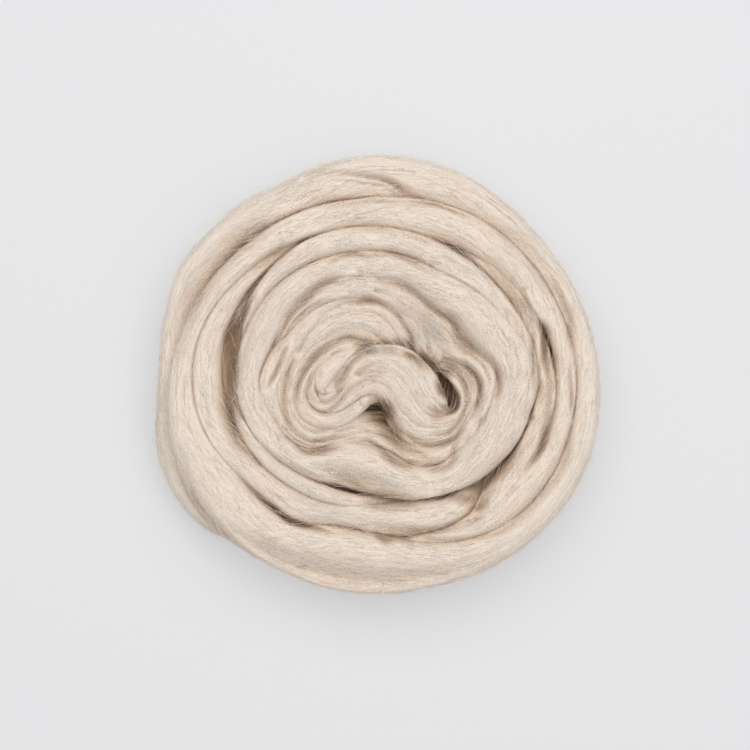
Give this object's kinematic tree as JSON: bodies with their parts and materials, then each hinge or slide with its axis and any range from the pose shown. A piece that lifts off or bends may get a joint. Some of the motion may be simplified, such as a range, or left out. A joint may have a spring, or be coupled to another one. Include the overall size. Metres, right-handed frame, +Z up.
{
  "type": "wool roving",
  "caption": "Length of undyed combed wool roving wound into a flat round nest with an S-folded centre; rests on its flat underside.",
  "frame": {"origin": "bottom centre of the bounding box, on the surface the nest rests on", "axes": "+Z up through the flat nest; +X and +Y across it, with the S-fold of the centre running along X"},
  "size_m": [0.1604, 0.158, 0.0442],
  "materials": {
    "wool": "undyed cream combed wool, matt, fine fibres along the strand, soft fuzz"
  },
  "bodies": {
    "root": {"roving_nest": "wool"}
  },
  "joints": []
}
